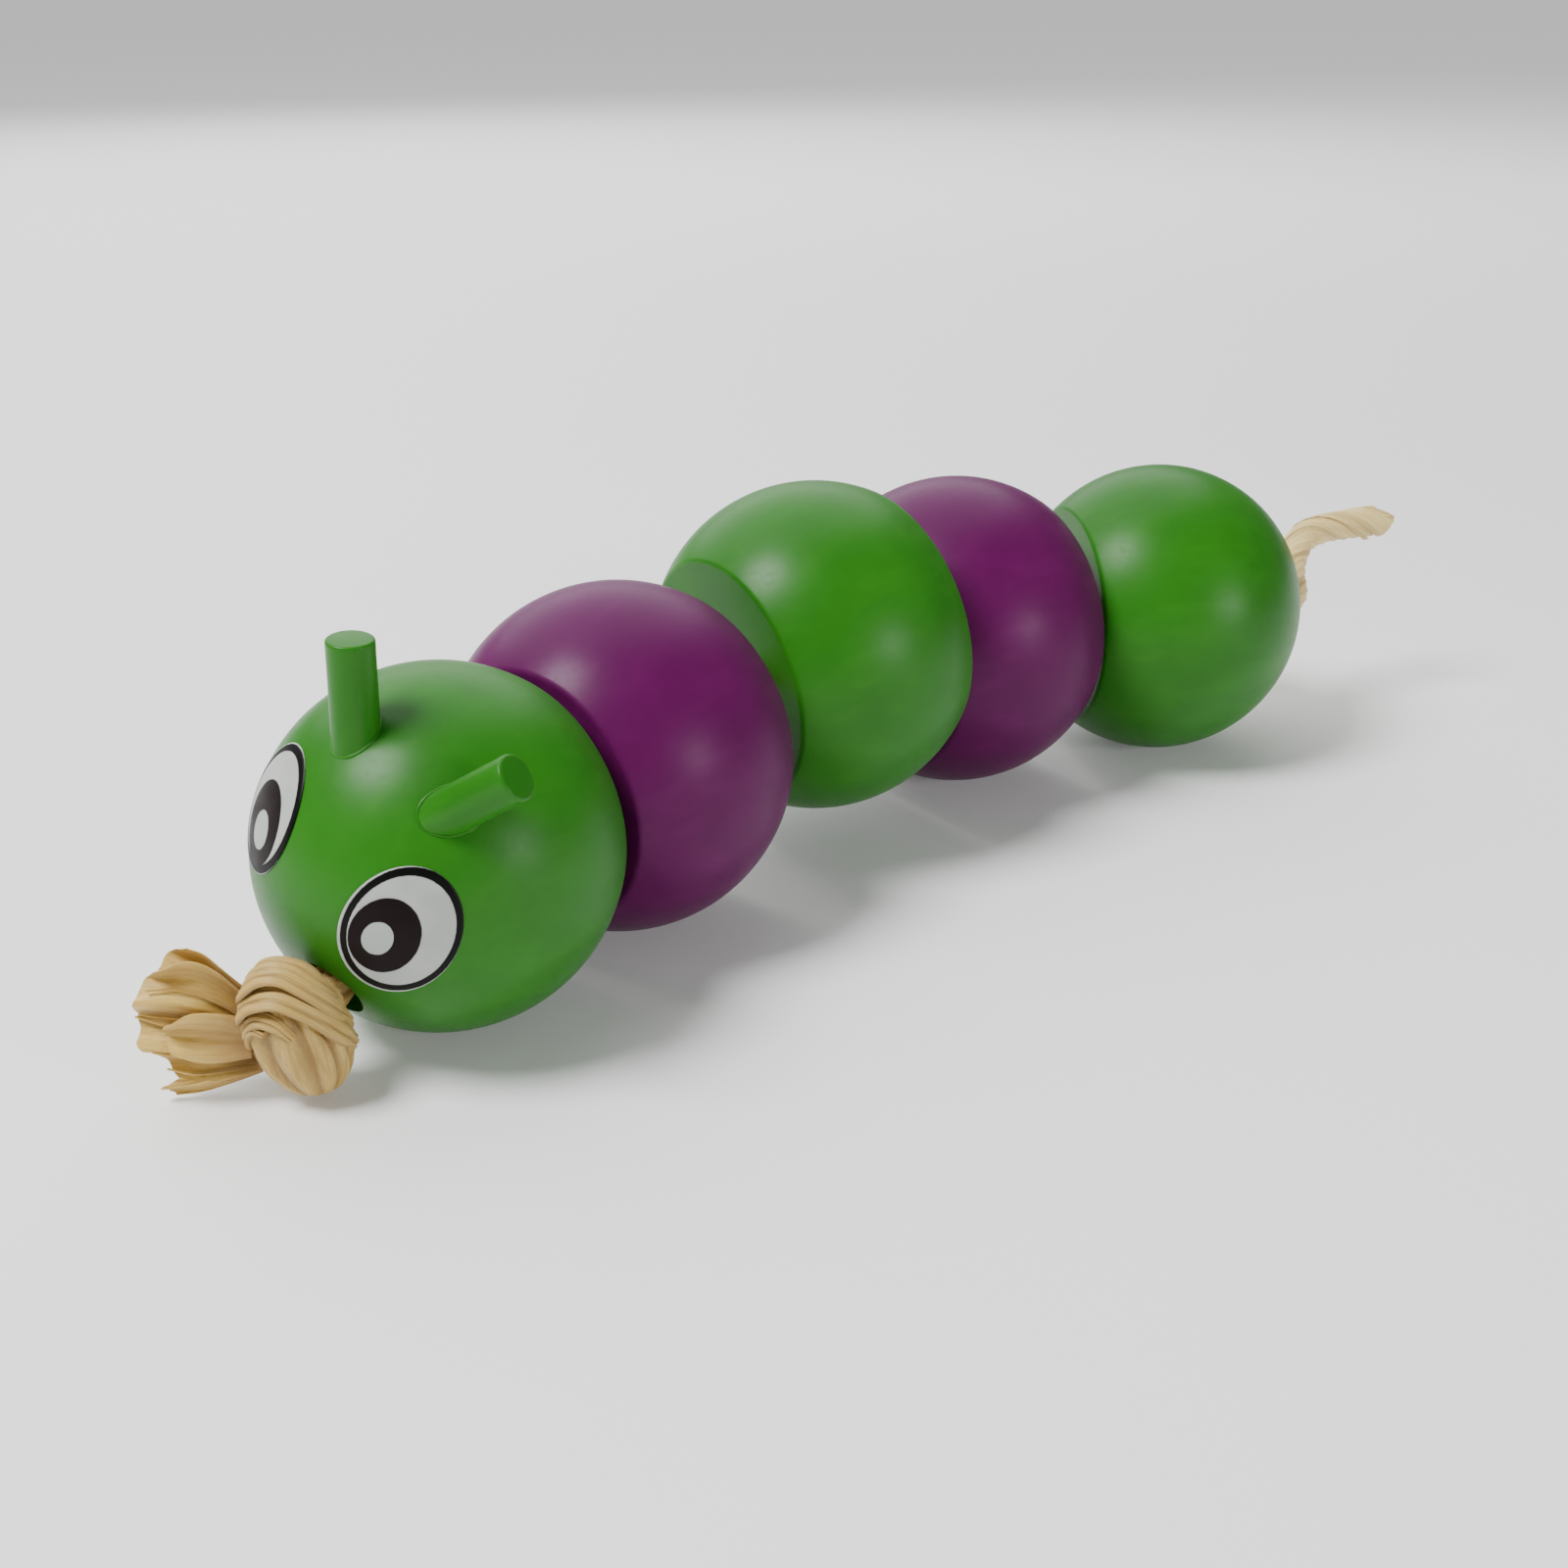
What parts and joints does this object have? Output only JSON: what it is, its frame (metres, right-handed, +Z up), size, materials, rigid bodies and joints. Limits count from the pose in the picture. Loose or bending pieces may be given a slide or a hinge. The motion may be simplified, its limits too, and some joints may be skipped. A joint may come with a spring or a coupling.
{
  "type": "wooden grub pull-along toy",
  "caption": "Jointed wooden grub toy: painted turned balls strung on a knotted straw rope, with printed eyes and dowel antennae.",
  "frame": {"origin": "middle of the toy's bounding box, on the surface it stands on", "axes": "+X from head to tail along the toy, +Z up"},
  "size_m": [0.1938, 0.0528, 0.0456],
  "materials": {
    "green_wood": "painted, satin",
    "purple_wood": "painted, satin",
    "straw_rope": "twisted straw fibre",
    "eye_print": "printed, satin"
  },
  "bodies": {
    "head": {"head_ball": "green_wood", "left_antenna": "green_wood", "right_antenna": "green_wood", "left_eye": "eye_print", "right_eye": "eye_print", "rope_in_head": "straw_rope", "nose_knot": "straw_rope", "nose_tuft": "straw_rope"},
    "neck": {"rope_in_neck": "straw_rope"},
    "bend_1": {"rope_link_1": "straw_rope"},
    "front_purple_rope": {"rope_in_front_purple": "straw_rope"},
    "front_purple_ball_body": {"front_purple_ball": "purple_wood"},
    "bend_2": {"rope_link_2": "straw_rope"},
    "middle_green_rope": {"rope_in_middle_green": "straw_rope"},
    "middle_green_ball_body": {"middle_green_ball": "green_wood"},
    "bend_3": {"rope_link_3": "straw_rope"},
    "rear_purple_rope": {"rope_in_rear_purple": "straw_rope"},
    "rear_purple_ball_body": {"rear_purple_ball": "purple_wood"},
    "bend_4": {"rope_link_4": "straw_rope"},
    "tail_rope": {"rope_in_tail": "straw_rope", "tail_knot": "straw_rope", "tail_rope_end": "straw_rope"},
    "tail_ball_body": {"tail_ball": "green_wood"}
  },
  "joints": [
    {"name": "head_roll", "type": "hinge", "parent": "head", "child": "neck", "pos_m": [-0.06149, -0.00453, 0.01939], "axis": [0.9799, 0.1994, 0], "range_deg": [-45, 45]},
    {"name": "sideways_bend_1", "type": "hinge", "parent": "neck", "child": "bend_1", "pos_m": [-0.04846, -0.00186, 0.01951], "axis": [0, 0, 1], "range_deg": [-5, 5]},
    {"name": "up_down_bend_1", "type": "hinge", "parent": "bend_1", "child": "front_purple_rope", "pos_m": [-0.04846, -0.00186, 0.01951], "axis": [-0.1994, 0.9799, 0], "range_deg": [-4, 8]},
    {"name": "front_purple_spin", "type": "hinge", "parent": "front_purple_rope", "child": "front_purple_ball_body", "pos_m": [-0.03408, 0.0012, 0.02009], "axis": [0.9776, 0.2078, 0.0349], "continuous": true},
    {"name": "sideways_bend_2", "type": "hinge", "parent": "front_purple_rope", "child": "bend_2", "pos_m": [-0.01888, 0.00447, 0.02186], "axis": [0, 0, 1], "range_deg": [-12, 12]},
    {"name": "up_down_bend_2", "type": "hinge", "parent": "bend_2", "child": "middle_green_rope", "pos_m": [-0.01888, 0.00447, 0.02186], "axis": [-0.2079, 0.9781, 0], "range_deg": [-12, 12]},
    {"name": "middle_green_spin", "type": "hinge", "parent": "middle_green_rope", "child": "middle_green_ball_body", "pos_m": [-0.00095, 0.00456, 0.02479], "axis": [0.9916, -0.0624, 0.1132], "continuous": true},
    {"name": "sideways_bend_3", "type": "hinge", "parent": "middle_green_rope", "child": "bend_3", "pos_m": [0.0118, 0.00547, 0.02323], "axis": [0, 0, 1], "range_deg": [-3, 6]},
    {"name": "up_down_bend_3", "type": "hinge", "parent": "bend_3", "child": "rear_purple_rope", "pos_m": [0.0118, 0.00547, 0.02323], "axis": [0.0628, 0.998, 0], "range_deg": [-12, 2]},
    {"name": "rear_purple_spin", "type": "hinge", "parent": "rear_purple_rope", "child": "rear_purple_ball_body", "pos_m": [0.02581, 0.00606, 0.02039], "axis": [0.9966, -0.0819, 0], "continuous": true},
    {"name": "sideways_bend_4", "type": "hinge", "parent": "rear_purple_rope", "child": "bend_4", "pos_m": [0.04019, 0.00344, 0.02004], "axis": [0, 0, 1], "range_deg": [-2, 12]},
    {"name": "up_down_bend_4", "type": "hinge", "parent": "bend_4", "child": "tail_rope", "pos_m": [0.04019, 0.00344, 0.02004], "axis": [0.0819, 0.9966, 0], "range_deg": [-7, 7]},
    {"name": "tail_spin", "type": "hinge", "parent": "tail_rope", "child": "tail_ball_body", "pos_m": [0.05516, -0.00451, 0.01969], "axis": [0.8829, -0.4695, 0], "continuous": true}
  ]
}
